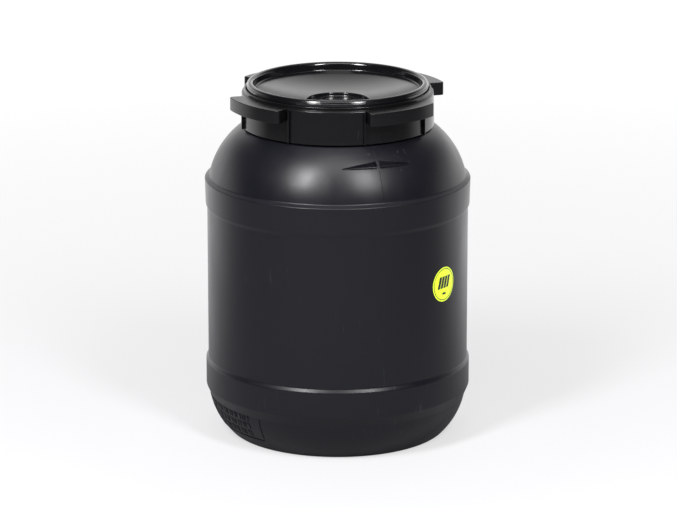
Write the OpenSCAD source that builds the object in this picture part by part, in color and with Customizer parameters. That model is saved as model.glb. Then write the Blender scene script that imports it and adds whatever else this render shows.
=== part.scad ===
// Wide-neck drum with a flat inner lid held down by a screw ring.
// Millimetres. +Z is up, and the origin is the centre of the base, on the floor.

/* [Drum body] */
// Greatest diameter, over the two rolling bands
band_d = 312; // [250:0.5:380]
// Diameter of the plain wall between the bands
body_d = 306.8; // [245:0.1:374]
// Thickness of the moulded wall
wall = 3; // [2:0.1:5]
// Diameter of the base where it turns up into the foot curve
foot_d = 256.4; // [210:0.1:310]
// Height of the foot curve, from the floor to the lower band
foot_h = 45; // [30:0.5:60]
// How far the top of the foot curve stands in from the lower band
foot_step = 4.9; // [3:0.1:8]
// Radius of the foot curve in profile
foot_bulge_r = 82; // [60:1:160]
// Width of the flat ring that the drum stands on
stand_w = 13; // [6:0.5:20]
// Height by which the middle of the base is raised
push_up = 4; // [2:0.5:8]
// Height of the slope under the lower band
foot_slope_h = 11.5; // [6:0.5:16]
// Height of each band's face
band_h = 30.5; // [20:0.5:50]
// Inward lean of the upper band's face, from its top to its bottom
band_lean = 0.8; // [0:0.1:2]
// Height of the slope between a band and the plain wall
band_slope_h = 4.3; // [2:0.1:8]
// Height of the plain wall between the bands
plain_h = 180.4; // [100:0.1:320]
// How far the shoulder stands in from the upper band
shoulder_step = 5.2; // [3:0.1:8]
// Height of the shoulder's dome
shoulder_h = 58.6; // [40:0.1:80]
// Radius of the dome in profile
shoulder_bulge_r = 100; // [75:1:220]

/* [Neck] */
// Outer diameter of the neck, without its thread
neck_d = 210.6; // [170:0.1:240]
// Height of the neck above the ledge at its foot
neck_h = 33; // [26:0.5:60]
// Thickness of the neck's wall
neck_wall = 4; // [3:0.1:6]
// Width of the ledge between the dome and the neck
ledge_w = 6.5; // [4:0.5:12]

/* [Thread] */
// Rise of the screw ring in one turn
lead = 12; // [10:0.5:16]
// Height of a thread's tooth, measured radially
tooth_h = 3.1; // [2:0.1:4]
// Width of a tooth at its root
tooth_root_w = 6; // [4:0.1:7]
// Width of a tooth at its crest
tooth_crest_w = 3; // [1.5:0.1:4]
// Radial clearance between a crest and the wall that it faces
crest_gap = 1; // [0.5:0.1:2]
// Clearance between the flanks that pull the lid down
flank_gap = 0.5; // [0.3:0.1:1]

/* [Lid disc] */
// Thickness of the disc and of its flange
disc_t = 3; // [2:0.1:5]
// Height of the rim's crest above the flange
rim_h = 13.6; // [8:0.1:18]
// Radial width of the rim
rim_w = 7.6; // [5:0.1:10]
// Radial width of the low step outside the rim's crest
rim_step_w = 1; // [0.5:0.1:3]
// Depth of that step below the crest
rim_step_drop = 3; // [2.8:0.1:6]
// Width of the flat land on the rim's crest
rim_land = 1; // [0.5:0.1:3]
// Radial width of the flange outside the rim
flange_w = 2.2; // [2:0.1:5]
// Depth of the dish's edge below the rim's crest
dish_edge_drop = 10; // [6:0.5:14]
// Fall of the dish from its edge to the well in its middle
dish_fall = 12.5; // [4:0.5:16]
// Radius of the dish's curve in profile
dish_curve_r = 286; // [220:1:600]
// Diameter of the well at its top
well_d = 74; // [40:1:120]
// Depth of the well
well_h = 4.5; // [2:0.5:9]
// How far the well's wall slopes in from its top to its floor
well_slope = 1; // [0.5:0.1:5]
// Length of the plug that centres the disc in the neck
plug_h = 7; // [4:0.5:12]

/* [Gasket] */
// Thickness of the seal
gasket_t = 2.8; // [2:0.1:5]
// Gap between the seal and the neck's lip before it is squeezed
seal_gap = 0.2; // [0.1:0.05:0.5]

/* [Screw ring] */
// Thickness of the ring's skirt
ring_wall = 2.8; // [2.5:0.1:5]
// Gap between the skirt and the ledge under it
skirt_gap = 1.9; // [1:0.1:4]
// Height of the ring's inner edge above its underside
ring_top_h = 6; // [5:0.1:9]
// Thickness of the collar round the ring's opening
collar_w = 2; // [1.5:0.1:3]
// Height of the skirt's rounded edge below the top of the collar
ring_fall = 5.4; // [4:0.1:9]
// Fall of the grips' tops below the top of the collar
grip_fall = 3.2; // [2:0.1:6]
// Running clearance between the ring and the disc
ring_gap = 0.4; // [0.2:0.1:0.8]
// Radial gap between the ring's inner edge and the rim
rim_gap = 0.8; // [0.5:0.1:2]
// Taper of the skirt from its top to its bottom, on the radius
skirt_draft = 0.8; // [0:0.1:2]
// Turn of the first grip about the axis
grip_turn = 37.7; // [0:0.1:90]
// Turn of the first rib about the axis
rib_turn = 15.7; // [0:0.1:45]
// Number of grips around the ring
grip_count = 4; // [2:1:4]
// Width of a grip as an angle
grip_angle = 42; // [24:1:42]
// Reach of a grip beyond the skirt
grip_reach = 18.3; // [8:0.1:24]
// Height of a grip
grip_h = 15.5; // [10:0.1:26]
// Thickness of a grip's hollow walls
grip_wall = 3; // [2:0.1:4]
// Size of the cut at a grip's upright corners
grip_corner = 4; // [2.5:0.5:6]
// Thickness of a rib on the skirt
rib_t = 1.8; // [1:0.1:3]
// Reach of a rib beyond the skirt
rib_reach = 4; // [2:0.1:6]

/* [Shoulder lugs] */
// Turn of the mould's parting line about the axis
parting_angle = -69; // [-180:1:180]
// Angle swept by a lug
lug_angle = 18.4; // [10:0.1:30]
// Angle between a lug and the parting line
lug_gap_angle = 1.2; // [0.5:0.1:4]
// Height of the lugs' ledge above the foot of the dome
lug_z = 39; // [30:0.1:44]
// Reach of a lug's blunt end beyond the dome
lug_reach = 3; // [1.5:0.1:5]
// Depth of the step cut into the dome over a lug
lug_cut = 1.6; // [0.5:0.1:2]

/* [Label] */
// Diameter of the round label
label_d = 41; // [20:0.5:80]
// Thickness of the label
label_t = 0.3; // [0.2:0.05:0.5]
// Height of the label's centre above the floor
label_z = 200; // [140:1:250]
// Direction that the label faces
label_angle = -36.5; // [-180:0.5:180]

/* [Hidden] */
$fn = 96;
arc_steps = 16;
thread_steps = 48;
fade_angle = 24;
fade_least = 0.05;
bury = 0.8;
edge_r = 1.2;
soft_r = 0.6;
eps = 0.01;
shoulder_rise = 0.6;
corner_drop = 0.3;
neck_foot_h = 2;
neck_thread_lift = 7.6;
neck_thread_margin = 14;
ring_thread_lift = 0.6;
ring_thread_margin = 17;
thread_nip = 0.4;
rib_drop = 2;

band_r = band_d / 2;
body_r = body_d / 2;
foot_r = foot_d / 2;
neck_r = neck_d / 2;
neck_in_r = neck_r - neck_wall;

// Heights up the drum
z_low_band = foot_h + foot_slope_h;
z_plain = z_low_band + band_h + band_slope_h;
z_up_band = z_plain + plain_h + band_slope_h;
z_dome = z_up_band + band_h + shoulder_step * shoulder_rise;
z_ledge = z_dome + shoulder_h;
z_lip = z_ledge + neck_h;

// Heights up the lid
z_gasket = z_lip + seal_gap;
z_flange = z_gasket + gasket_t;
z_flange_top = z_flange + disc_t;
z_rim_top = z_flange_top + rim_h;
z_ring_under = z_flange_top + ring_gap;
z_ring_top = z_ring_under + ring_top_h;
z_skirt = z_ledge + skirt_gap;
z_grip_top = z_ring_top - grip_fall;

// Radii of the lid
ring_in_r = neck_r + tooth_h + crest_gap;
skirt_r = ring_in_r + ring_wall;
flange_r = ring_in_r - 2 * ring_gap;
rim_r = flange_r - flange_w;
rim_in_r = rim_r - rim_w;
dish_r = rim_in_r - disc_t - 1;
grip_r = skirt_r + grip_reach;

// The two threads: turns follow the height that each has
neck_turns = floor(4 * (neck_h - neck_thread_margin) / lead) / 4;
ring_turns = floor(4 * (neck_h - ring_thread_margin) / lead) / 4;
z_neck_thread = z_ledge + neck_thread_lift;
tooth_offset = (tooth_root_w + tooth_crest_w) / 2 + flank_gap - thread_nip;
z_ring_thread = z_skirt + tooth_root_w / 2 + ring_thread_lift;
ring_thread_a = 360 * (z_ring_thread - (z_neck_thread - tooth_offset)) / lead;

// Centre of the arc of radius r from p up to q that bulges away from the axis
function arc_centre(p, q, r) =
    let (d = q - p, l = norm(d), h = sqrt(r * r - l * l / 4))
    (p + q) / 2 + h * [-d[1], d[0]] / l;

// Points along that arc, drawn inside it by the distance inset
function bulge(p, q, r, inset = 0, n = arc_steps) =
    let (
        c = arc_centre(p, q, r),
        a = atan2(p[1] - c[1], p[0] - c[0]),
        b = atan2(q[1] - c[1], q[0] - c[0])
    )
    [for (k = [0:n]) let (t = a + (b - a) * k / n) c + (r - inset) * [cos(t), sin(t)]];

// Points around a corner of radius r, from angle a to angle b
function corner(c, r, a, b, n = 6) =
    [for (k = [0:n]) let (t = a + (b - a) * k / n) c + r * [cos(t), sin(t)]];

function flip(list) = [for (k = [len(list) - 1:-1:0]) list[k]];

foot_start = [foot_r, edge_r + bury];
foot_end = [band_r - foot_step, foot_h];
dome_start = [band_r - shoulder_step, z_dome];
dome_end = [neck_r + ledge_w, z_ledge];

// Radius of the dome's outside at height z
function dome_r(z) =
    let (c = arc_centre(dome_start, dome_end, shoulder_bulge_r))
    c[0] + sqrt(shoulder_bulge_r * shoulder_bulge_r - (z - c[1]) * (z - c[1]));

// The moulded wall's face, from the middle of the base to the ledge, set in by t
function wall_face(t) = concat(
    [
        [0, push_up + t],
        [foot_r - stand_w - 2 * push_up, push_up + t],
        [foot_r - stand_w, t],
        [foot_r - 3 + (t > 0 ? 1 : 0), t]
    ],
    bulge(foot_start, foot_end, foot_bulge_r, t),
    [
        [band_r - t, z_low_band],
        [band_r - t, z_low_band + band_h],
        [body_r - t, z_plain],
        [body_r - t, z_plain + plain_h],
        [band_r - band_lean - t, z_up_band],
        [band_r - t, z_up_band + band_h - t / 2]
    ],
    bulge(dome_start, dome_end, shoulder_bulge_r, t)
);

// A screw tooth from radius root_r to crest_r, whose ends fade away
module thread(root_r, crest_r, z0, a0, turns) {
    n = ceil(turns * thread_steps);
    sweep = turns * 360;
    function fade(a) = min(1, a / fade_angle, (sweep - a) / fade_angle);
    function at(r, a, z) = [r * cos(a), r * sin(a), z];
    function ring_of(k) =
        let (
            a = sweep * k / n,
            z = z0 + lead * a / 360,
            f = max(fade_least, fade(a)),
            r = root_r + (crest_r - root_r) * f,
            w = tooth_root_w / 2,
            c = tooth_crest_w / 2
        )
        [at(root_r, a0 + a, z - w), at(r, a0 + a, z - c), at(r, a0 + a, z + c), at(root_r, a0 + a, z + w)];
    points = [for (k = [0:n]) each ring_of(k)];
    side = crest_r > root_r ? 1 : -1;
    quads = [for (k = [0:n - 1], j = [0:3]) [4 * k + j, 4 * k + (j + 1) % 4, 4 * k + 4 + (j + 1) % 4, 4 * k + 4 + j]];
    ends = [[3, 2, 1, 0], [4 * n, 4 * n + 1, 4 * n + 2, 4 * n + 3]];
    faces = concat(quads, ends);
    polyhedron(points, side > 0 ? faces : [for (f = faces) flip(f)], convexity = 6);
}

// Plan of a wedge on one side of the parting line, from its tip (t = 0) to its blunt end (t = 1).
// Its outer edge runs from r_tip to r_end, its inner one from r_in to r_in_end, and over is how many
// degrees it runs on towards the parting line.
module wedge_plan(side, r_in, r_in_end, r_tip, r_end, over = 0) {
    function spoke(r, t) =
        let (a = parting_angle + side * (lug_gap_angle - over * t + lug_angle * (1 - t)))
        r * [cos(a), sin(a)];
    outer = [for (k = [0:8]) spoke(r_tip + (r_end - r_tip) * k / 8, k / 8)];
    inner = [for (k = [8:-1:0]) spoke(r_in + (r_in_end - r_in) * k / 8, k / 8)];
    polygon(concat(outer, inner));
}

module lugs() {
    z = z_dome + lug_z;
    r = dome_r(z);
    for (side = [-1, 1])
        translate([0, 0, z - wall])
            linear_extrude(wall)
                wedge_plan(side, r - wall / 2, r - wall / 2, r, r + lug_reach);
}

module lug_cuts() {
    z = z_dome + lug_z;
    r = dome_r(z);
    for (side = [-1, 1])
        translate([0, 0, z])
            linear_extrude(2 * wall)
                wedge_plan(side, r + eps, r - lug_cut, r + 2, r + lug_reach + 2, lug_gap_angle / 3);
}

module drum_body() {
    neck_face = [
        [neck_r + neck_foot_h, z_ledge + corner_drop],
        [neck_r, z_ledge + neck_foot_h],
        [neck_r, z_lip - edge_r]
    ];
    bore = [[neck_r - edge_r, z_lip], [neck_in_r, z_lip], [neck_in_r, z_ledge - wall + corner_drop]];
    color([0.17, 0.17, 0.19])
        difference() {
            union() {
                rotate_extrude()
                    polygon(concat(wall_face(0), neck_face, bore, flip(wall_face(wall))));
                thread(neck_r - bury, neck_r + tooth_h, z_neck_thread, 0, neck_turns);
                lugs();
            }
            lug_cuts();
        }
}

module warning_label() {
    color([0.88, 0.98, 0.2])
        intersection() {
            rotate_extrude()
                translate([body_r, label_z - label_d])
                    square([label_t, 2 * label_d]);
            rotate([0, 90, label_angle])
                translate([-label_z, 0, 0])
                    cylinder(h = body_r + 2 * wall, d = label_d);
        }
}

// Half-section of the lid disc: well, dish, rim, flange and plug
module disc_section() {
    z_edge = z_rim_top - dish_edge_drop;
    z_well = z_edge - dish_fall;
    z_floor = z_well - well_h;
    well_r = well_d / 2;
    bead_r = rim_r - rim_step_w;
    crest_r = (bead_r - rim_in_r - rim_land) / 2;
    z_step = z_rim_top - rim_step_drop;
    plug_r = neck_in_r - ring_gap;
    top = concat(
        [[0, z_floor], [well_r - well_slope, z_floor]],
        bulge([well_r, z_well], [dish_r, z_edge], dish_curve_r),
        [[rim_in_r, z_edge + 4]],
        corner([rim_in_r + crest_r, z_rim_top - crest_r], crest_r, 180, 90),
        corner([bead_r - crest_r, z_rim_top - crest_r], crest_r, 90, 0),
        [[bead_r, z_step], [rim_r, z_step], [rim_r, z_flange_top], [flange_r, z_flange_top], [flange_r, z_flange]]
    );
    under = [
        [plug_r, z_flange],
        [plug_r, z_flange - plug_h],
        [plug_r - disc_t, z_flange - plug_h],
        [plug_r - disc_t, z_edge - disc_t],
        [dish_r, z_edge - disc_t],
        [well_r + disc_t, z_well - disc_t],
        [well_r + disc_t - well_slope, z_floor - disc_t],
        [0, z_floor - disc_t]
    ];
    polygon(concat(top, under));
}

module lid_disc() {
    color([0.13, 0.13, 0.14])
        rotate_extrude()
            disc_section();
}

module gasket() {
    color([0.25, 0.25, 0.26])
        rotate_extrude()
            translate([neck_in_r - ring_gap, z_gasket])
                square([neck_wall + ring_gap + 1, gasket_t]);
}

// Half-section of the screw ring: skirt, ledge and collar
module ring_section() {
    lip_r = rim_r + rim_gap;
    skirt_top = [skirt_r - edge_r, z_ring_top - ring_fall];
    polygon(concat(
        [[lip_r, z_ring_under]],
        corner([lip_r + soft_r, z_ring_top - soft_r], soft_r, 180, 90),
        corner([lip_r + collar_w - soft_r, z_ring_top - soft_r], soft_r, 90, 0),
        [[lip_r + collar_w, skirt_top[1] + edge_r]],
        corner(skirt_top, edge_r, 90, 0),
        [[skirt_r + skirt_draft, z_skirt], [ring_in_r, z_skirt], [ring_in_r, z_ring_under]]
    ));
}

// Plan of a grip between the skirt and the reach, inset all round by t, with its outer corners cut off
module grip_plan(t) {
    r = grip_r - t;
    half = grip_angle / 2 - asin(t / skirt_r);
    cut = grip_corner - (2 - sqrt(2)) * t;
    function spoke(d, a) = d * [cos(a), sin(a)];
    function beyond(s) =
        let (a = spoke(r - cut, s * half), b = spoke(r, s * (half - asin(cut / r))))
        a + 1.5 * (b - a);
    intersection() {
        difference() {
            circle(r = r);
            circle(r = skirt_r - (t > 0 ? 0 : 1));
        }
        polygon([
            [0, 0],
            spoke(r - cut, -half),
            beyond(-1),
            spoke(2 * r, -half / 2),
            spoke(2 * r, half / 2),
            beyond(1),
            spoke(r - cut, half)
        ]);
    }
}

module grips() {
    z_grip = z_grip_top - grip_h;
    for (k = [0:grip_count - 1])
        rotate(grip_turn + k * 360 / grip_count)
            difference() {
                translate([0, 0, z_grip])
                    linear_extrude(grip_h)
                        grip_plan(0);
                translate([0, 0, z_grip - eps])
                    linear_extrude(grip_h - grip_wall + eps)
                        grip_plan(grip_wall);
            }
}

module ribs() {
    for (k = [0:2 * grip_count - 1])
        rotate(rib_turn + k * 180 / grip_count)
            translate([skirt_r - 1, -rib_t / 2, z_skirt])
                cube([rib_reach + 1, rib_t, z_grip_top - rib_drop - z_skirt]);
}

module screw_ring() {
    color([0.14, 0.14, 0.15])
        union() {
            rotate_extrude()
                ring_section();
            thread(ring_in_r + bury, ring_in_r - tooth_h, z_ring_thread, ring_thread_a, ring_turns);
            grips();
            ribs();
        }
}

drum_body();
warning_label();
lid_disc();
gasket();
screw_ring();
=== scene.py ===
# %% [markdown]
# # A wide-neck plastic drum with a screw ring
#
# The drum is one blow-moulded shell. A dished disc closes its neck, and a ring with four grips screws
# down over the disc. The engineering model already says where each solid is and how it moves, so this
# lesson only makes the surfaces that are seen. Nearly all of them are turned: an outline is drawn
# beside the axis and spun round it, which is how the real tools for these parts were cut.

# %% Load the frame
import math

import bmesh
import bpy
from mathutils import Matrix, Vector


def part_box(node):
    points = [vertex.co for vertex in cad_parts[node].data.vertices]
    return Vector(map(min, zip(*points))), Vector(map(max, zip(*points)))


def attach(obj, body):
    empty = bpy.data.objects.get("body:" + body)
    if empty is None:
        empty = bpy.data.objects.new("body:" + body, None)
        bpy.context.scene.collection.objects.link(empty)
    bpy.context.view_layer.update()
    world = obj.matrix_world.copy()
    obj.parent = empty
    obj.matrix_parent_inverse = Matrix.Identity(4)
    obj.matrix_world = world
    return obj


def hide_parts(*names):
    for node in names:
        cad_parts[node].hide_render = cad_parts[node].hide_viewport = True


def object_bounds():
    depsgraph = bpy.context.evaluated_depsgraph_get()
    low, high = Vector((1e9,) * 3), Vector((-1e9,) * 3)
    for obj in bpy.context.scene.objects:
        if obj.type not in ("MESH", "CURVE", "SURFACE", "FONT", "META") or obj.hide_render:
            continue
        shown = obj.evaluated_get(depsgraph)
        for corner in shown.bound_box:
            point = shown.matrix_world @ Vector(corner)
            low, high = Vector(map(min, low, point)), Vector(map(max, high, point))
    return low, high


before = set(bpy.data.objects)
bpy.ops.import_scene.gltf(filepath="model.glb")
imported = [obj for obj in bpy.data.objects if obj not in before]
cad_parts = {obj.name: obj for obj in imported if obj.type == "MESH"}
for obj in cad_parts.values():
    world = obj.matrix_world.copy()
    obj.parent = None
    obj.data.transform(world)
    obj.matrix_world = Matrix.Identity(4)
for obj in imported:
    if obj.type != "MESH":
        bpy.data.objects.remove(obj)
cad_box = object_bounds()

# %% [markdown]
# ## Working sizes
#
# Outlines are written in millimetres, as on a drawing, and made metres when a point becomes a vertex.
# Heights come from the frame's boxes, so the pieces meet where the engineering model says.

# %% Sizes shared by several pieces
MM = 0.001
TURN_STEPS = 192

_, drum_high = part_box("drum_body")
_, disc_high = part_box("lid_disc")
_, seal_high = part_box("gasket")
ring_low, ring_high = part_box("screw_ring")

BAND_R = 156.0
BODY_R = 153.4
NECK_R = 105.3
NECK_IN_R = 101.3
WALL = 3.0
LIP_Z = drum_high.z / MM
RIM_Z = disc_high.z / MM
FLANGE_Z = seal_high.z / MM
SKIRT_Z = ring_low.z / MM
RING_TOP_Z = ring_high.z / MM
NECK_H = 33.0
DOME_H = 58.6
LEDGE_Z = LIP_Z - NECK_H
DOME_Z = LEDGE_Z - DOME_H
PARTING = math.radians(-69.5)
print("lip at %.1f mm, rim at %.1f mm, skirt from %.1f mm" % (LIP_Z, RIM_Z, SKIRT_Z))


# %% [markdown]
# ## Turning a piece
#
# An outline point is a radius, a height and how far its corner is softened. A vertex bevel rounds each
# corner while the outline is still a bare wire, so one setting rounds the whole circle after the spin.
# A wire that starts and ends on the axis closes at its poles. A wire that is a loop makes a ring.

# %% Helpers for turned pieces
def arc_centre(start, end, radius):
    """Centre of the arc from start up to end that swells away from the axis."""
    (r0, z0), (r1, z1) = start, end
    length = math.hypot(r1 - r0, z1 - z0)
    rise = math.sqrt(radius ** 2 - length ** 2 / 4)
    return (r0 + r1) / 2 - rise * (z1 - z0) / length, (z0 + z1) / 2 + rise * (r1 - r0) / length


def bulge(start, end, radius, inset=0.0, steps=24, soft_ends=0.0):
    """Outline points on that arc, or on one that is set in by inset."""
    centre_r, centre_z = arc_centre(start, end, radius)
    a = math.atan2(start[1] - centre_z, start[0] - centre_r)
    b = math.atan2(end[1] - centre_z, end[0] - centre_r)
    reach = radius - inset
    points = []
    for k in range(steps + 1):
        turn = a + (b - a) * k / steps
        soft = soft_ends if k in (0, steps) else 0.0
        points.append((centre_r + reach * math.cos(turn), centre_z + reach * math.sin(turn), soft))
    return points


def soften(bm, corners, width, segments, affect="EDGES"):
    """Rounds edges, or the corners of a bare outline, by a width in millimetres."""
    bmesh.ops.bevel(bm, geom=corners, offset=width * MM, offset_type="OFFSET", segments=segments,
                    profile=0.5, material=-1, affect=affect)


def spun(bm, geom, angle, steps, climb=0.0, merge=False):
    """Spins geometry about Z, with an even climb in metres if it is a screw."""
    bmesh.ops.spin(bm, geom=geom, cent=(0, 0, 0), axis=(0, 0, 1), dvec=(0, 0, climb / steps), angle=angle,
                   steps=steps, use_merge=merge)


def turned(outline, loop=False, steps=TURN_STEPS):
    """A bmesh of the outline spun once about Z."""
    bm = bmesh.new()
    verts = [bm.verts.new((r * MM, 0.0, z * MM)) for r, z, _ in outline]
    for pair in zip(verts, verts[1:]):
        bm.edges.new(pair)
    if loop:
        bm.edges.new((verts[-1], verts[0]))
    for soft in sorted({s for _, _, s in outline if s > 0}):
        corners = [v for v, (_, _, s) in zip(verts, outline) if s == soft]
        soften(bm, corners, soft, 4, affect="VERTICES")
    spun(bm, bm.verts[:] + bm.edges[:], math.tau, steps, merge=True)
    bmesh.ops.remove_doubles(bm, verts=bm.verts, dist=0.002 * MM)
    bmesh.ops.recalc_face_normals(bm, faces=bm.faces)
    return bm


# %% Helpers for everything else
def turned_about_z(bm, angle):
    """Turns a whole bmesh about Z and gives it back."""
    bmesh.ops.rotate(bm, verts=bm.verts, cent=(0, 0, 0), matrix=Matrix.Rotation(angle, 3, "Z"))
    return bm


def add_to(bm, other):
    """Copies another bmesh into bm and frees it."""
    scratch = bpy.data.meshes.new("scratch")
    other.to_mesh(scratch)
    other.free()
    bm.from_mesh(scratch)
    bpy.data.meshes.remove(scratch)


def block(length, width, height, soft):
    """A softened block in millimetres, centred on the origin."""
    bm = bmesh.new()
    bmesh.ops.create_cube(bm, size=1.0)
    bmesh.ops.scale(bm, verts=bm.verts, vec=(length * MM, width * MM, height * MM))
    soften(bm, bm.edges[:], soft, 2)
    return bm


def section_loop(bm, points):
    """A closed loop through points in millimetres, as a list of its vertices and edges."""
    verts = [bm.verts.new(Vector(point) * MM) for point in points]
    count = len(verts)
    return verts + [bm.edges.new((verts[k], verts[(k + 1) % count])) for k in range(count)]


def closed(bm, sides):
    """Caps what is open at the ends of a sweep and turns every face outwards."""
    bmesh.ops.holes_fill(bm, edges=[e for e in bm.edges if len(e.link_faces) == 1], sides=sides)
    bmesh.ops.recalc_face_normals(bm, faces=bm.faces)


# %% Helper that finishes a piece
def finished(name, bm, body, material, crease=32.0, even=True):
    """Makes an object of the bmesh, shades it and tells the frame what it is."""
    mesh = bpy.data.meshes.new(name)
    bm.to_mesh(mesh)
    bm.free()
    piece = bpy.data.objects.new(name, mesh)
    bpy.context.scene.collection.objects.link(piece)
    mesh.materials.append(material)
    mesh.shade_smooth()
    mesh.set_sharp_from_angle(angle=math.radians(crease))
    if even:
        normals = piece.modifiers.new("even normals", "WEIGHTED_NORMAL")
        normals.mode = "FACE_AREA"
        normals.keep_sharp = True
    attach(piece, body)
    print("%s: %d faces on body %s" % (name, len(mesh.polygons), body))
    return piece


# %% [markdown]
# ## Plastics
#
# Every moulded piece is polyethylene with carbon black in it, so they share one recipe: a nearly black
# base, a broad satin reflection, a fine grain from the mould's blasted surface, slow waves where the
# wall cooled unevenly, and a few thin scuffs. What differs is the gloss, because the disc came off a
# polished tool and the shell off a blasted one.

# %% Node helpers
def node(tree, kind, **values):
    made = tree.nodes.new(kind)
    for key, value in values.items():
        setattr(made, key, value)
    return made


def noise_on(tree, coords, scale, detail, stretch=(1, 1, 1)):
    """A noise pattern on the piece's own coordinates, stretched along its axes."""
    mapping = node(tree, "ShaderNodeMapping")
    mapping.inputs["Scale"].default_value = stretch
    tree.links.new(coords, mapping.inputs["Vector"])
    noise = node(tree, "ShaderNodeTexNoise")
    noise.inputs["Scale"].default_value = scale
    noise.inputs["Detail"].default_value = detail
    tree.links.new(mapping.outputs["Vector"], noise.inputs["Vector"])
    return noise.outputs["Fac"]


def remap(tree, value, low, high, new_low, new_high):
    made = node(tree, "ShaderNodeMapRange")
    for name, number in zip(("From Min", "From Max", "To Min", "To Max"), (low, high, new_low, new_high)):
        made.inputs[name].default_value = number
    tree.links.new(value, made.inputs["Value"])
    return made.outputs["Result"]


def math_on(tree, operation, first, second):
    made = node(tree, "ShaderNodeMath", operation=operation)
    for socket, value in zip(made.inputs, (first, second)):
        if isinstance(value, (int, float)):
            socket.default_value = value
        else:
            tree.links.new(value, socket)
    return made.outputs["Value"]


def bump_on(tree, height, strength, depth):
    """A bump node over a height pattern, whose depth is in millimetres."""
    bump = node(tree, "ShaderNodeBump")
    bump.inputs["Strength"].default_value = strength
    bump.inputs["Distance"].default_value = depth * MM
    tree.links.new(height, bump.inputs["Height"])
    return bump


# %% The moulded plastic
def moulded_plastic(name, colour, scuffed, gloss, grain, wave, specular=0.5, scuffs=0.5):
    """Satin polyethylene. gloss is (smoothest, roughest), grain and wave are heights in millimetres."""
    material = bpy.data.materials.new(name)
    material.use_nodes = True
    tree = material.node_tree
    shader = tree.nodes["Principled BSDF"]
    coords = node(tree, "ShaderNodeTexCoord").outputs["Object"]

    cloud = noise_on(tree, coords, 14.0, 4.0)
    flow = noise_on(tree, coords, 60.0, 3.0, stretch=(1, 1, 0.12))
    streak = noise_on(tree, coords, 240.0, 2.0, stretch=(1, 1, 0.12))
    rub = noise_on(tree, coords, 9.0, 2.0)
    rubbed = remap(tree, rub, 0.52, 0.66, 0.0, scuffs)
    scratch = math_on(tree, "MULTIPLY", remap(tree, streak, 0.66, 0.74, 0.0, 1.0), rubbed)

    tint = node(tree, "ShaderNodeMix", data_type="RGBA")
    tint.inputs[6].default_value = (*colour, 1)
    tint.inputs[7].default_value = (*scuffed, 1)
    tree.links.new(scratch, tint.inputs[0])
    tree.links.new(tint.outputs[2], shader.inputs["Base Color"])

    cloudy = remap(tree, cloud, 0.3, 0.7, gloss[0], gloss[1])
    rough = math_on(tree, "ADD", cloudy, remap(tree, flow, 0.3, 0.7, -0.02, 0.02))
    rough = math_on(tree, "ADD", rough, math_on(tree, "MULTIPLY", scratch, 0.12))
    tree.links.new(rough, shader.inputs["Roughness"])
    shader.inputs["Specular IOR Level"].default_value = specular

    fine = bump_on(tree, noise_on(tree, coords, 1500.0, 2.0), 0.35, grain)
    waves = bump_on(tree, noise_on(tree, coords, 22.0, 1.0, stretch=(1, 1, 0.5)), 0.6, wave)
    tree.links.new(fine.outputs["Normal"], waves.inputs["Normal"])
    tree.links.new(waves.outputs["Normal"], shader.inputs["Normal"])
    return material


shell_plastic = moulded_plastic("shell plastic", (0.0055, 0.0058, 0.0092), (0.05, 0.05, 0.055),
                                gloss=(0.33, 0.39), grain=0.02, wave=0.2, specular=0.43)
ring_plastic = moulded_plastic("ring plastic", (0.0045, 0.0047, 0.005), (0.04, 0.04, 0.04),
                               gloss=(0.2, 0.26), grain=0.012, wave=0.05, specular=0.34, scuffs=0.3)
disc_plastic = moulded_plastic("disc plastic", (0.0045, 0.0047, 0.0055), (0.04, 0.04, 0.045),
                               gloss=(0.12, 0.16), grain=0.008, wave=0.05, specular=0.7, scuffs=0.3)
seal_foam = moulded_plastic("seal foam", (0.055, 0.055, 0.055), (0.08, 0.08, 0.08),
                            gloss=(0.7, 0.8), grain=0.05, wave=0.05, specular=0.3)
print("materials:", [m.name for m in (shell_plastic, ring_plastic, disc_plastic, seal_foam)])


# %% [markdown]
# ## The camera, the floor and the light
#
# The drum stands on a white sweep. The room is white behind it and dark in front, which leaves the
# middle of each round wall dark and draws a pale line down both of its sides. Two soft boxes high in
# front make the pair of reflections on the shoulder. The camera looks down by fifteen degrees through a
# long lens from far away, so there is next to no perspective.

# %% Camera
CAMERA_RISE = math.radians(15.4)
CAMERA_DISTANCE = 4.575
AIM_RIGHT = 1.0 * MM
AIM_HEIGHT = 0.503
aim = Vector((AIM_RIGHT, 0.0, cad_box[1].z * AIM_HEIGHT))
camera_data = bpy.data.cameras.new("camera")
camera_data.lens = 206.0
camera_data.sensor_width = 36.0
camera = bpy.data.objects.new("camera", camera_data)
bpy.context.scene.collection.objects.link(camera)
away = Vector((0.0, -math.cos(CAMERA_RISE), math.sin(CAMERA_RISE)))
camera.location = aim + CAMERA_DISTANCE * away
camera.rotation_euler = away.to_track_quat("Z", "Y").to_euler()
bpy.context.scene.camera = camera
bpy.context.scene.view_settings.view_transform = "Standard"
print("camera %.2f m away, %.1f degrees up" % (CAMERA_DISTANCE, math.degrees(CAMERA_RISE)))


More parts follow.
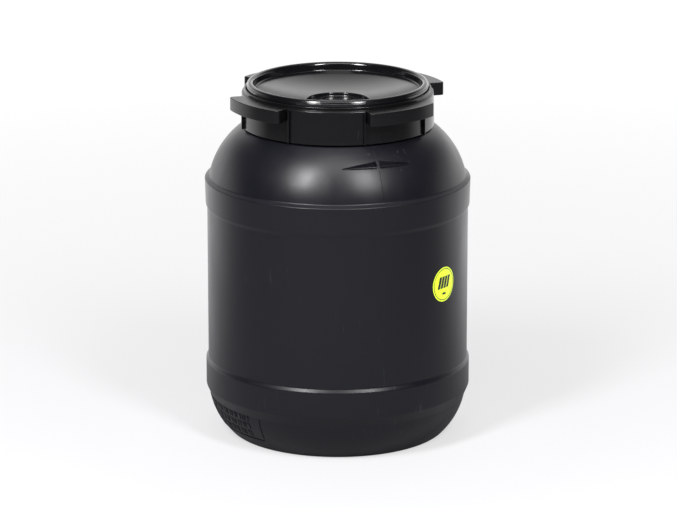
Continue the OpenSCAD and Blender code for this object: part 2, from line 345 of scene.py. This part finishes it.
# %% Floor
def white_floor():
    """A pale disc whose light is painted on as emission. The camera sees it glow brighter with distance, a
    painted shade near the drum, and reflections see a painted glow behind the drum.
    """
    bm = bmesh.new()
    bmesh.ops.create_circle(bm, cap_ends=True, segments=64, radius=12.0)
    mesh = bpy.data.meshes.new("floor")
    bm.to_mesh(mesh)
    bm.free()
    floor = bpy.data.objects.new("floor", mesh)
    bpy.context.scene.collection.objects.link(floor)
    paper = bpy.data.materials.new("floor paper")
    paper.use_nodes = True
    tree = paper.node_tree
    shader = tree.nodes["Principled BSDF"]
    shader.inputs["Roughness"].default_value = 0.9
    shader.inputs["Specular IOR Level"].default_value = 0.0
    shader.inputs["Emission Color"].default_value = (1, 1, 1, 1)
    # Painted light: the floor's colour and glow depend on the ray. Reflections see a paler floor and a
    # painted glow behind the drum; the camera sees a glow painted darker near the drum.
    seen = node(tree, "ShaderNodeLightPath").outputs["Is Camera Ray"]
    shade = node(tree, "ShaderNodeMix", data_type="RGBA")
    shade.inputs[6].default_value = (0.35, 0.35, 0.37, 1)
    shade.inputs[7].default_value = (0.25, 0.25, 0.26, 1)
    tree.links.new(seen, shade.inputs[0])
    tree.links.new(shade.outputs[2], shader.inputs["Base Color"])
    coords = node(tree, "ShaderNodeTexCoord").outputs["Object"]
    place = node(tree, "ShaderNodeSeparateXYZ")
    tree.links.new(coords, place.inputs["Vector"])
    reach = node(tree, "ShaderNodeVectorMath", operation="LENGTH")
    tree.links.new(coords, reach.inputs[0])
    behind = remap(tree, place.outputs["Y"], 0.05, 0.75, 0.0, 1.2)
    straight = math_on(tree, "MULTIPLY", seen, remap(tree, reach.outputs["Value"], 0.3, 2.5, 0.63, 1.0))
    painted_glow_behind = math_on(tree, "MULTIPLY", behind, math_on(tree, "SUBTRACT", 1.0, seen))
    tree.links.new(math_on(tree, "ADD", painted_glow_behind, straight), shader.inputs["Emission Strength"])
    mesh.materials.append(paper)


white_floor()


# %% Soft boxes
def soft_box(name, azimuth, rise, distance, width, height, power):
    """A rectangular light that faces the drum. Azimuth 0 is in front, and positive is to the right."""
    data = bpy.data.lights.new(name, "AREA")
    data.shape = "RECTANGLE"
    data.size = width
    data.size_y = height
    data.energy = power
    light = bpy.data.objects.new(name, data)
    bpy.context.scene.collection.objects.link(light)
    a, e = math.radians(azimuth), math.radians(rise)
    towards = Vector((math.sin(a) * math.cos(e), -math.cos(a) * math.cos(e), math.sin(e)))
    light.location = Vector((0, 0, 0.25)) + distance * towards
    light.rotation_euler = towards.to_track_quat("Z", "Y").to_euler()


soft_box("left soft box", -34, 43, 2.2, 0.36, 1.0, 44)
soft_box("right soft box", 29, 43, 2.2, 0.36, 1.0, 32)
soft_box("front soft box", -2, 68, 2.2, 0.9, 0.8, 9)
soft_box("top soft box", 180, 78, 2.4, 2.2, 1.4, 6)


# %% Room
def room():
    """White behind and dark in front, for all but the rays that the camera sends straight out."""
    world = bpy.data.worlds.new("room")
    bpy.context.scene.world = world
    world.use_nodes = True
    tree = world.node_tree
    tree.nodes.clear()
    coords = node(tree, "ShaderNodeTexCoord").outputs["Generated"]
    split = node(tree, "ShaderNodeSeparateXYZ")
    tree.links.new(coords, split.inputs["Vector"])
    behind = remap(tree, split.outputs["Y"], 0.1, 0.6, 0.02, 1.6)
    low = remap(tree, split.outputs["Z"], 0.08, 0.4, 1.0, 0.05)
    wall = remap(tree, split.outputs["Y"], 0.5, 0.85, 0.0, 1.75)
    aside = math_on(tree, "ABSOLUTE", split.outputs["X"], 0.0)
    foot_fade = remap(tree, split.outputs["Z"], 0.24, 0.4, 0.25, 1.0)
    side_fade = remap(tree, aside, 0.42, 0.7, 1.0, 0.0)
    top_fade = remap(tree, split.outputs["Z"], 0.3, 0.8, 1.0, 0.55)
    for fade in (foot_fade, side_fade, top_fade):
        wall = math_on(tree, "MULTIPLY", wall, fade)
    behind = math_on(tree, "MAXIMUM", math_on(tree, "MULTIPLY", behind, low), wall)
    seen = node(tree, "ShaderNodeLightPath").outputs["Is Camera Ray"]
    level = math_on(tree, "MAXIMUM", behind, seen)
    light = node(tree, "ShaderNodeBackground")
    light.inputs["Color"].default_value = (1, 1, 1, 1)
    tree.links.new(level, light.inputs["Strength"])
    out = node(tree, "ShaderNodeOutputWorld")
    tree.links.new(light.outputs["Background"], out.inputs["Surface"])


room()


# %% [markdown]
# ## The drum's shell
#
# The shell is turned from one outline that goes up the outside, over the lip and down the inside, so it
# has its real three millimetre wall, which shows when the lid is off. The curves of the foot and the
# shoulder are arcs, and every edge of the two rolling bands is softened, as blown plastic never fills a
# sharp corner.

# %% The shell's outline
FOOT_START = (128.2, 2.0)
FOOT_END = (151.1, 45.0)
DOME_START = (150.8, DOME_Z)
DOME_END = (111.8, LEDGE_Z)
FOOT_BULGE = 82.0
DOME_BULGE = 95.0
LOW_BAND = (56.5, 87.0)
HIGH_BAND = (276.0, 306.5)
BAND_LEAN = 0.8
SLOPE = 4.3
PUSH_UP = 4.0
PUSH_UP_R = 107.2
STAND_IN_R = 115.2
STAND_OUT_R = 125.2


def wall_line(inset):
    """The wall's face from the middle of the base to the ledge, set in by inset."""
    soft = 0.9 if inset == 0 else 2.5
    raised = [(0.0, PUSH_UP + inset, 0.0), (PUSH_UP_R, PUSH_UP + inset, 3.0), (STAND_IN_R, inset, 3.0)]
    turn_up = [(STAND_OUT_R + (0.5 if inset else 0.0), inset, 1.4)]
    low_band = [
        (BAND_R - inset, LOW_BAND[0], soft * 1.2),
        (BAND_R - inset, LOW_BAND[1], soft),
        (BODY_R - inset, LOW_BAND[1] + SLOPE, soft),
    ]
    high_band = [
        (BODY_R - inset, HIGH_BAND[0] - SLOPE, soft * 1.1),
        (BAND_R - BAND_LEAN - inset, HIGH_BAND[0], soft * 1.1),
        (BAND_R - inset, HIGH_BAND[1] - inset / 2, soft * 0.8),
    ]
    foot = bulge(FOOT_START, FOOT_END, FOOT_BULGE, inset, soft_ends=1.0)
    dome = bulge(DOME_START, DOME_END, DOME_BULGE, inset, soft_ends=0.8)
    return raised + turn_up + foot + low_band + high_band + dome


neck_line = [
    (NECK_R + 1.2, LEDGE_Z + 0.3, 0.8),
    (NECK_R, LEDGE_Z + 2.0, 0.8),
    (NECK_R, LIP_Z, 1.2),
    (NECK_IN_R, LIP_Z, 0.8),
    (NECK_IN_R, LEDGE_Z - WALL + 0.3, 1.6),
]
shell_outline = wall_line(0.0) + neck_line + wall_line(WALL)[::-1]
shell = turned(shell_outline)
print("shell turned:", len(shell.faces), "faces")


# %% [markdown]
# ## The shoulder lugs
#
# Two wedges flank the mould's parting line on the shoulder. Each has a thin ledge that grows towards
# its blunt end, with a step cut back into the dome above it. Blown plastic draws these out of the same
# wall, so they aren't added blocks: the shoulder is subdivided there and its points are moved in or out.

# %% Draw the lugs out of the shoulder
LUG_Z = DOME_Z + 39.5
LUG_SWEEP = math.radians(17.8)
LUG_GAP = math.radians(0.9)
LUG_REACH = 3.2
LUG_CUT = 4.2
LUG_FACE = 1.5
LUG_FALL = 1.5
LUG_BELOW = 6.5
LUG_ABOVE = 9.5


def arc_radius(start, end, radius, z):
    """Radius at height z of the arc that bulge draws."""
    centre_r, centre_z = arc_centre(start, end, radius)
    return centre_r + math.sqrt(max(0.0, radius ** 2 - (z - centre_z) ** 2))


def dome_radius(z):
    return arc_radius(DOME_START, DOME_END, DOME_BULGE, z)


def foot_radius(z):
    return arc_radius(FOOT_START, FOOT_END, FOOT_BULGE, z)


def from_parting(point):
    """Angle between a point and the parting line."""
    return abs((math.atan2(point.y, point.x) - PARTING + math.pi) % math.tau - math.pi)


def by_lugs(point):
    """True for a point on the dome's outer face near the lugs."""
    z = point.z / MM
    if not LUG_Z - LUG_BELOW < z < LUG_Z + LUG_ABOVE:
        return False
    outside = math.hypot(point.x, point.y) / MM > dome_radius(z) - 1.0
    return outside and from_parting(point) < LUG_SWEEP + 4 * LUG_GAP


def lug_radius(z, growth):
    """Radius of the lug's surface at height z, where growth runs from 0 at its tip to 1."""
    plain = dome_radius(z)
    ledge_z = LUG_Z - LUG_FALL * (1 - growth)
    ledge = dome_radius(ledge_z)
    if z > ledge_z:
        return min(plain, ledge - LUG_CUT * growth ** 0.7)
    if z > ledge_z - LUG_FACE:
        return max(plain, ledge + LUG_REACH * growth)
    return plain


edges = [e for e in shell.edges if by_lugs(e.verts[0].co) and by_lugs(e.verts[1].co)]
bmesh.ops.subdivide_edges(shell, edges=edges, cuts=7, use_grid_fill=True)
moved = 0
for vert in shell.verts:
    if not by_lugs(vert.co):
        continue
    z = vert.co.z / MM
    turn = from_parting(vert.co)
    growth = (LUG_SWEEP + LUG_GAP - turn) / LUG_SWEEP
    radius = lug_radius(z, growth) if LUG_GAP < turn and growth > 0 else dome_radius(z)
    scale = radius * MM / math.hypot(vert.co.x, vert.co.y)
    vert.co.x *= scale
    vert.co.y *= scale
    moved += 1
print("points moved for the lugs:", moved)

drum_shell = finished("drum_shell", shell, "drum", shell_plastic, crease=36.0)
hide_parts("drum_body")


# %% [markdown]
# ## The neck's thread
#
# A screw thread is a spin that also climbs. The spin operator takes a rise for each step, so the
# tooth's section is drawn once and swept up the neck. Its two ends are drawn back into the wall, as a
# real thread fades out.

# %% Sweep a tooth
LEAD = 12.0
TOOTH_ROOT = 6.0
TOOTH_CREST = 3.0
TOOTH_H = 3.1
TOOTH_STEPS = 64
FADE = 24.0
SUNK = 0.8
NECK_THREAD_Z = LEDGE_Z + 7.6


def tooth(root_r, crest_r, z0, start_deg, turns):
    """A bmesh of one thread from root_r to crest_r that starts at height z0."""
    bm = bmesh.new()
    a = math.radians(start_deg)
    root, crest = TOOTH_ROOT / 2, TOOTH_CREST / 2
    section = [(root_r, -root), (crest_r, -crest), (crest_r, crest), (root_r, root)]
    loop = section_loop(bm, [(r * math.cos(a), r * math.sin(a), z0 + z) for r, z in section])
    spun(bm, loop, math.tau * turns, int(TOOTH_STEPS * turns), climb=LEAD * turns * MM)
    closed(bm, 4)
    for vert in bm.verts:
        fade_in(vert, root_r, z0, turns)
    return bm


def fade_in(vert, root_r, z0, turns):
    """Draws a vertex back towards the root if it is near an end of the thread."""
    climbed = (vert.co.z / MM - z0) / LEAD * 360
    near = min(climbed + FADE / 3, turns * 360 - climbed + FADE / 3) / FADE
    if near >= 1:
        return
    radius = math.hypot(vert.co.x, vert.co.y) / MM
    wanted = root_r + (radius - root_r) * max(near, 0.05)
    vert.co.x *= wanted / radius
    vert.co.y *= wanted / radius


neck_tooth = tooth(NECK_R - SUNK, NECK_R + TOOTH_H, NECK_THREAD_Z, 0.0, 1.5)
finished("neck_thread", neck_tooth, "drum", shell_plastic)


# %% [markdown]
# ## The lid disc
#
# The disc is glossy and dished, with a rounded rim outside the dish and a well in its middle. Under it
# a short plug centres it in the neck. Its outline goes from the middle of the top, out and over the
# rim, and back under to the middle again.

# %% Turn the disc
FLANGE_R = 108.6
RIM_R = 106.4
BEAD_R = 105.4
BEAD_H = 3.3
RIM_IN_R = 98.8
DISH_R = 94.8
WELL_R = 37.0
WELL_SLOPE = 1.0
DISH_CURVE = 286.0
DISC_T = 3.0
EDGE_DROP = 10.0
DISH_FALL = 12.5
WELL_DEPTH = 4.5
EDGE_Z = RIM_Z - EDGE_DROP
WELL_Z = EDGE_Z - DISH_FALL
FLOOR_Z = WELL_Z - WELL_DEPTH
PLUG_H = 7.0
PLUG_R = NECK_IN_R - 0.4
FLANGE_TOP_Z = FLANGE_Z + DISC_T

dish = bulge((WELL_R, WELL_Z), (DISH_R, EDGE_Z), DISH_CURVE, soft_ends=0.8, steps=20)
over_rim = [
    (RIM_IN_R - 1.6, EDGE_Z + 0.3, 1.0),
    (RIM_IN_R, RIM_Z, 3.1),
    (BEAD_R, RIM_Z, 3.0),
    (BEAD_R + 0.3, RIM_Z - BEAD_H, 0.4),
    (RIM_R, RIM_Z - BEAD_H - 0.4, 0.5),
    (RIM_R, FLANGE_TOP_Z, 0.5),
    (FLANGE_R, FLANGE_TOP_Z, 0.5),
    (FLANGE_R, FLANGE_Z, 0.4),
]
under_disc = [
    (PLUG_R, FLANGE_Z, 0.4),
    (PLUG_R, FLANGE_Z - PLUG_H, 0.8),
    (PLUG_R - DISC_T, FLANGE_Z - PLUG_H, 0.8),
    (PLUG_R - DISC_T, EDGE_Z - DISC_T, 0.8),
    (DISH_R, EDGE_Z - DISC_T, 0.8),
    (WELL_R + DISC_T, WELL_Z - DISC_T, 1.5),
    (WELL_R + DISC_T - WELL_SLOPE, FLOOR_Z - DISC_T, 1.5),
    (0.0, FLOOR_Z - DISC_T, 0.0),
]
well = [(0.0, FLOOR_Z, 0.0), (WELL_R - WELL_SLOPE, FLOOR_Z, 1.2)]
disc = turned(well + dish + over_rim + under_disc)
lid_disc = finished("lid_plate", disc, "lid", disc_plastic)
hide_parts("lid_disc")


# %% [markdown]
# ### A plain mark in the well
#
# Moulders usually put a mark in the middle of a lid. This one is only rings and a circle of short bars
# round the point where the plastic was injected.

# %% Rings and bars in the well
MARK_RINGS = ((31.5, 32.6), (17.0, 17.9))
MARK_H = 0.5
MARK_ROOT = 0.4
NUB_R = 3.2
NUB_H = 0.9
MARK_BARS = 18
MARK_BARS_R = 24.6


def well_mark():
    """Two raised rings, a nub and a circle of short bars on the well's floor."""
    bm = bmesh.new()
    low, high, nub_high = FLOOR_Z - MARK_ROOT, FLOOR_Z + MARK_H, FLOOR_Z + NUB_H
    for r0, r1 in MARK_RINGS:
        section = [(r0, low, 0), (r0, high, 0.2), (r1, high, 0.2), (r1, low, 0)]
        add_to(bm, turned(section, loop=True, steps=96))
    add_to(bm, turned([(0, nub_high, 0), (NUB_R, nub_high, 0.5), (NUB_R, low, 0), (0, low, 0)], steps=48))
    for k in range(MARK_BARS):
        bar = block(7.0, 1.3, MARK_H + MARK_ROOT, 0.25)
        bar_z = FLOOR_Z + (MARK_H - MARK_ROOT) / 2
        bmesh.ops.translate(bar, verts=bar.verts, vec=(MARK_BARS_R * MM, 0, bar_z * MM))
        add_to(bm, turned_about_z(bar, k * math.tau / MARK_BARS))
    return bm


finished("well_mark", well_mark(), "lid", disc_plastic)


# %% [markdown]
# ## The screw ring
#
# The ring is turned: a skirt, a ledge on top of it and a thin collar round the opening, just outside the
# disc's rim. Eight thin ribs stiffen the skirt. The four grips are sectors: a rectangle swept through
# part of a turn, its corners rounded and its underside hollowed by an inset that is pushed up.

# %% Turn the skirt
LIP_R = 107.2
RING_IN_R = 109.4
SKIRT_R = 112.2
SKIRT_FOOT_R = 113.0
RING_UNDER_Z = FLANGE_TOP_Z + 0.4
COLLAR_W = 2.0
SKIRT_TOP_Z = RING_TOP_Z - 4.5
GRIP_TOP_Z = RING_TOP_Z - 3.2

skirt_outline = [
    (LIP_R, RING_UNDER_Z, 0.3),
    (LIP_R, RING_TOP_Z, 0.6),
    (LIP_R + COLLAR_W, RING_TOP_Z, 0.7),
    (LIP_R + COLLAR_W + 0.3, SKIRT_TOP_Z + 0.4, 0.5),
    (SKIRT_R, SKIRT_TOP_Z, 1.2),
    (SKIRT_FOOT_R, SKIRT_Z, 0.6),
    (RING_IN_R, SKIRT_Z, 0.8),
    (RING_IN_R, RING_UNDER_Z, 0.8),
]
skirt = turned(skirt_outline, loop=True)


# %% Ribs and grips
RIB_T = 1.8
RIB_REACH = 4.0
RIB_DROP = 2.0
ROOT = 1.5
GRIP_R = 131.1
GRIP_H = 15.5
GRIP_WALL = 3.0
GRIP_CORNER = 4.0
GRIP_EDGE = 0.9
GRIP_HALF = 21.0
GRIP_TURN = 37.7
RIB_TURN = 15.7
GRIPS = 4


def rib(angle):
    """An upright rib on the skirt, from its foot to just under the grips' tops."""
    height = GRIP_TOP_Z - RIB_DROP - SKIRT_Z
    bm = block(RIB_REACH + ROOT, RIB_T, height, 0.45)
    centre = (SKIRT_R + (RIB_REACH - ROOT) / 2) * MM
    bmesh.ops.translate(bm, verts=bm.verts, vec=(centre, 0, (SKIRT_Z + height / 2) * MM))
    return turned_about_z(bm, angle)


def grip(angle):
    """A hollow sector whose middle faces angle."""
    bm = bmesh.new()
    top, low = GRIP_TOP_Z, GRIP_TOP_Z - GRIP_H
    inner = SKIRT_R - ROOT
    loop = section_loop(bm, [(inner, 0, low), (GRIP_R, 0, low), (GRIP_R, 0, top), (inner, 0, top)])
    turned_about_z(bm, math.radians(-GRIP_HALF))
    spun(bm, loop, math.radians(2 * GRIP_HALF), 20)
    closed(bm, 4)
    soften(bm, [e for e in bm.edges if is_upright_corner(e)], GRIP_CORNER, 6)
    soften(bm, [e for e in bm.edges if is_corner(e)], GRIP_EDGE, 3)
    hollow_out(bm, low * MM)
    return turned_about_z(bm, angle)


def is_corner(edge):
    return edge.calc_face_angle(0) > math.radians(40)


def is_upright_corner(edge):
    """True for the two upright edges at the ends of a grip's outer face."""
    a, b = (v.co for v in edge.verts)
    upright = abs(a.z - b.z) > 10 * MM
    return upright and math.hypot(a.x, a.y) > (GRIP_R - 0.1) * MM and is_corner(edge)


def hollow_out(bm, low):
    """Opens a grip from below and leaves its wall all round and on top."""
    under = [f for f in bm.faces if f.normal.z < -0.99 and abs(f.calc_center_median().z - low) < 0.05 * MM]
    bmesh.ops.inset_region(bm, faces=under, thickness=(GRIP_WALL - GRIP_EDGE) * MM, use_boundary=True,
                           use_even_offset=True)
    raised = bmesh.ops.extrude_face_region(bm, geom=under)
    new = [g for g in raised["geom"] if isinstance(g, bmesh.types.BMVert)]
    bmesh.ops.translate(bm, verts=new, vec=(0, 0, (GRIP_H - GRIP_WALL) * MM))
    bmesh.ops.delete(bm, geom=[f for f in under if f.is_valid], context="FACES")


# %% Join the ring
THREAD_DROP = 4.6
RING_THREAD_Z = SKIRT_Z + TOOTH_ROOT / 2 + 0.6

for k in range(GRIPS):
    add_to(skirt, grip(math.radians(GRIP_TURN + 360 / GRIPS * k)))
for k in range(2 * GRIPS):
    add_to(skirt, rib(math.radians(RIB_TURN + 180 / GRIPS * k)))
ring_start = 360 * (RING_THREAD_Z - (NECK_THREAD_Z - THREAD_DROP)) / LEAD
add_to(skirt, tooth(RING_IN_R + SUNK, RING_IN_R - TOOTH_H, RING_THREAD_Z, ring_start, 1.25))
ring_piece = finished("grip_ring", skirt, "ring", ring_plastic)
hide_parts("screw_ring")


# %% [markdown]
# ## The seal
#
# The seal is a plain flat ring of foam. Its solid in the engineering model has the right shape already,
# so it keeps that and only takes a finish.

# %% Finish the seal
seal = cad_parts["gasket"]
seal.data.materials.clear()
seal.data.materials.append(seal_foam)
print("seal finished")


# %% [markdown]
# ## Marks moulded in the wall
#
# The parting line is a hair of plastic squeezed between the mould's halves, and a lip like it runs round
# each lug. Both are round ridges along a path. A panel low on one side carries moulded marks, made here
# as plain upright bars in three rows with a small round insert beside them. Each bar is a softened
# block whose points are laid on the curve of the foot.

# %% Fine ridges
PARTING_T = 0.32
LUG_LIP_T = 0.6


def ridge(points, thick):
    """A fine round ridge through points given as (radius, angle, height), in millimetres."""
    curve = bpy.data.curves.new("ridge", "CURVE")
    curve.dimensions = "3D"
    curve.bevel_depth = thick * MM
    curve.bevel_resolution = 2
    spline = curve.splines.new("POLY")
    spline.points.add(len(points) - 1)
    for point, (r, angle, z) in zip(spline.points, points):
        point.co = (r * MM * math.cos(angle), r * MM * math.sin(angle), z * MM, 1)
    holder = bpy.data.objects.new("scratch", curve)
    bpy.context.scene.collection.objects.link(holder)
    bm = bmesh.new()
    bm.from_mesh(holder.to_mesh())
    bpy.data.objects.remove(holder)
    bmesh.ops.holes_fill(bm, edges=[e for e in bm.edges if len(e.link_faces) == 1], sides=0)
    return bm


def parting_line(angle):
    """A ridge straight up the dome, from just above its foot to just below the ledge."""
    heights = [DOME_Z + 1.5 + (DOME_H - 3.0) * k / 40 for k in range(41)]
    return ridge([(dome_radius(z) + 0.05, angle, z) for z in heights], PARTING_T)


def lug_outline(side):
    """The lip along a lug's ledge, up its blunt end and back along the top of its step."""
    ledge, top = [], []
    for k in range(25):
        growth = 0.02 + 0.98 * k / 24
        turn = PARTING + side * (LUG_GAP + LUG_SWEEP * (1 - growth))
        ledge_z = LUG_Z - LUG_FALL * (1 - growth)
        ledge.append((dome_radius(ledge_z) + LUG_REACH * growth + 0.1, turn, ledge_z - 0.1))
        cut_r = dome_radius(ledge_z) - LUG_CUT * growth ** 0.7
        z = ledge_z
        while dome_radius(z) > cut_r:
            z += 0.1
        top.append((dome_radius(z) + 0.3, turn, z))
    return ridge(ledge + top[::-1], LUG_LIP_T)


seams = parting_line(PARTING)
add_to(seams, parting_line(PARTING + math.pi))
add_to(seams, lug_outline(1))
add_to(seams, lug_outline(-1))
finished("parting_seam", seams, "drum", shell_plastic, even=False)


# %% Panel of bars
PANEL_RIGHT = math.radians(-38.0 - 90.0)
PANEL_SWEEP = math.radians(60.0)
ROWS = ((41.0, 0), (31.5, 3), (22.0, 6))
BAR_H = 6.6
BAR_WIDTHS = (3.0, 1.3, 2.2, 3.8, 1.3, 3.0, 2.2)
BAR_GAP = 2.0
RELIEF = 0.75
PANEL_R = 140.0
PANEL_MARGIN = 16.0
FRAME_Z = 31.0
FRAME_H = 26.0
LINE_Z = 14.5
INSERT_R = 4.2
INSERT_Z = 34.0


def lay_on_foot(bm, angle, z):
    """Moves a block that lies flat at the origin on to the foot's curve: X runs round, Y runs up."""
    for vert in bm.verts:
        across, up, out = (c / MM for c in vert.co)
        height = z + up
        radius = foot_radius(height) + out
        turn = angle + across / foot_radius(z)
        vert.co = Vector((radius * math.cos(turn), radius * math.sin(turn), height)) * MM
    return bm


def tall_block(width, height, cuts):
    """A block that is cut across, so that it can bend up the foot."""
    bm = block(width, height, 2 * RELIEF, 0.18)
    uprights = [e for e in bm.edges if abs(e.verts[0].co.y - e.verts[1].co.y) > height * MM / 2]
    bmesh.ops.subdivide_edges(bm, edges=uprights, cuts=cuts, use_grid_fill=True)
    return bm


def panel_marks():
    """Rows of bars, an upright line at their right and a line that runs round under them."""
    bm = bmesh.new()
    for z, first in ROWS:
        across, k = PANEL_MARGIN, first
        while across < PANEL_SWEEP * PANEL_R:
            width = BAR_WIDTHS[k % len(BAR_WIDTHS)]
            add_to(bm, lay_on_foot(tall_block(width, BAR_H, 3), PANEL_RIGHT - across / PANEL_R, z))
            across += width + BAR_GAP
            k += 1
    add_to(bm, lay_on_foot(tall_block(0.8, FRAME_H, 12), PANEL_RIGHT + 0.01, FRAME_Z))
    steps = 30
    for k in range(steps):
        turn = PANEL_RIGHT - PANEL_SWEEP * (k + 0.5) / steps
        piece = block(PANEL_SWEEP / steps * (PANEL_R + 1), 0.9, 2 * RELIEF, 0.1)
        add_to(bm, lay_on_foot(piece, turn, LINE_Z))
    return bm


def round_insert():
    """A small raised circle between the bars and the upright line."""
    ring = bmesh.new()
    r0, r1, high = INSERT_R, INSERT_R + 0.8, 0.3
    loop = section_loop(ring, [(r0, 0, -high), (r0, 0, high), (r1, 0, high), (r1, 0, -high)])
    spun(ring, loop, math.tau, 40, merge=True)
    bmesh.ops.recalc_face_normals(ring, faces=ring.faces)
    return lay_on_foot(ring, PANEL_RIGHT - math.radians(9.5), INSERT_Z)


marks = panel_marks()
add_to(marks, round_insert())
finished("moulded_marks", marks, "drum", shell_plastic, even=False)


# %% [markdown]
# ## The label
#
# A round film sticker, printed in black on yellow-green. The print is a thin ring near its edge, four
# leaning stripes and a short bar under them: plain shapes with no meaning. Film and ink are cut as flat
# shapes and then wrapped round the wall, so they follow its curve exactly.

# %% Label finishes
def film(name, colour, rough):
    """A printed finish with a painted glow: a little emission stands in for light that the lamps don't give
    it.
    """
    material = bpy.data.materials.new(name)
    material.use_nodes = True
    tree = material.node_tree
    shader = tree.nodes["Principled BSDF"]
    shader.inputs["Base Color"].default_value = (*colour, 1)
    shader.inputs["Coat Weight"].default_value = 0.2
    # Painted light: the emission makes the film and ink glow as if lit more brightly.
    shader.inputs["Emission Color"].default_value = (*colour, 1)
    shader.inputs["Emission Strength"].default_value = 0.5
    coords = node(tree, "ShaderNodeTexCoord").outputs["Object"]
    uneven = remap(tree, noise_on(tree, coords, 130.0, 3.0), 0.3, 0.7, rough - 0.05, rough + 0.08)
    tree.links.new(uneven, shader.inputs["Roughness"])
    bump = bump_on(tree, noise_on(tree, coords, 220.0, 1.0), 0.2, 0.05)
    tree.links.new(bump.outputs["Normal"], shader.inputs["Normal"])
    return material


label_film = film("label film", (0.80, 1.0, 0.035), 0.4)
label_ink = film("label ink", (0.012, 0.013, 0.012), 0.4)

# %% Cut and wrap the label
LABEL_R = 20.5
LABEL_Z = 200.0
LABEL_TURN = math.radians(-36.5)
FILM_T = 0.12
INK_T = 0.06
INK_RING = (18.0, 18.9)
STRIPES = 4
STRIPE_STEP = 5.4


def flat_ring(r0, r1, steps=96):
    """A flat ring or disc in the XY plane, in millimetres, cut fine enough to wrap."""
    bm = bmesh.new()
    count = max(2, int((r1 - r0) / 1.5))
    verts = [bm.verts.new(((r0 + (r1 - r0) * k / count) * MM, 0, 0)) for k in range(count + 1)]
    for pair in zip(verts, verts[1:]):
        bm.edges.new(pair)
    spun(bm, bm.verts[:] + bm.edges[:], math.tau, steps, merge=True)
    bmesh.ops.remove_doubles(bm, verts=bm.verts, dist=0.002 * MM)
    return bm


def flat_strip(width, height, x, y, lean=0.0):
    """A flat rectangle centred on (x, y) in millimetres, whose top leans to the right."""
    bm = bmesh.new()
    bmesh.ops.create_grid(bm, x_segments=10, y_segments=4, size=0.5)
    bmesh.ops.scale(bm, verts=bm.verts, vec=(width * MM, height * MM, 1))
    for vert in bm.verts:
        vert.co.x += vert.co.y * lean
    bmesh.ops.translate(bm, verts=bm.verts, vec=(x * MM, y * MM, 0))
    return bm


def wrapped(bm, base, thick):
    """Gives a flat shape its thickness and wraps it on the wall, base millimetres proud."""
    bmesh.ops.recalc_face_normals(bm, faces=bm.faces)
    if bm.faces[:][0].normal.z < 0:
        bmesh.ops.reverse_faces(bm, faces=bm.faces)
    bmesh.ops.solidify(bm, geom=bm.faces[:], thickness=-thick * MM)
    for vert in bm.verts:
        radius = BODY_R + base + vert.co.z / MM
        turn = LABEL_TURN + vert.co.x / MM / BODY_R
        height = LABEL_Z + vert.co.y / MM
        vert.co = Vector((radius * math.cos(turn), radius * math.sin(turn), height)) * MM
    bmesh.ops.recalc_face_normals(bm, faces=bm.faces)
    return bm


film_disc = wrapped(flat_ring(0.0, LABEL_R), 0.02, FILM_T)
label = finished("round_label", film_disc, "drum", label_film, even=False)
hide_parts("warning_label")

ink = wrapped(flat_ring(*INK_RING), FILM_T, INK_T)
for k in range(STRIPES):
    stripe = flat_strip(4.4, 14.0, STRIPE_STEP * (k - (STRIPES - 1) / 2), 2.5, lean=0.3)
    add_to(ink, wrapped(stripe, FILM_T, INK_T))
add_to(ink, wrapped(flat_strip(6.5, 2.6, 0.0, -11.0), FILM_T, INK_T))
finished("label_ink", ink, "drum", label_ink, even=False)
